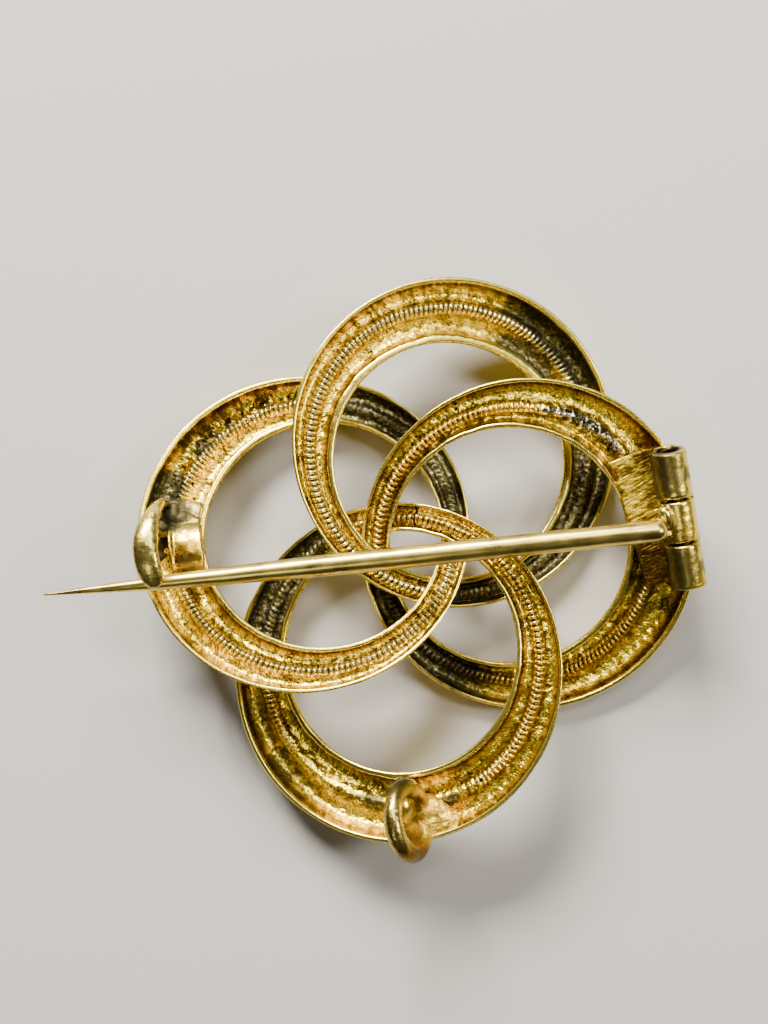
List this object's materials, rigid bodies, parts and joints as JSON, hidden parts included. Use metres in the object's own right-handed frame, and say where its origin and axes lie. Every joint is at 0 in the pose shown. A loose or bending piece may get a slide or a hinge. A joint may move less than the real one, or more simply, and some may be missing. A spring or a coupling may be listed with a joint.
{
  "type": "love-knot brooch",
  "caption": "Knot of interlaced crescent rings with a roped ridge on the back, a hinged pin wire, a C-shaped catch and a safety loop.",
  "frame": {"origin": "bottom centre of the bounding box, on the surface that the brooch lies on face down", "axes": "+Z out of the back of the brooch, +X towards the hinge, +Y towards the ring above the pin"},
  "size_m": [0.0344, 0.0304, 0.0068],
  "materials": {
    "gold_sheet": "old yellow gold, brushed inside, polished on the edges",
    "pin_gold": "smooth pale gold, worn to a shine",
    "rivet_wire": "dull wire"
  },
  "bodies": {
    "knot": {"top_ring": "gold_sheet", "catch_ring": "gold_sheet", "loop_ring": "gold_sheet", "hinge_ring": "gold_sheet", "hinge_rivet": "rivet_wire"},
    "pin": {"pin_stem": "pin_gold"}
  },
  "joints": [
    {"name": "pin_hinge", "type": "hinge", "parent": "knot", "child": "pin", "pos_m": [0.01563, 0.00196, 0.00446], "axis": [-0.1664, 0.9614, 0.219], "range_deg": [0, 160]}
  ]
}
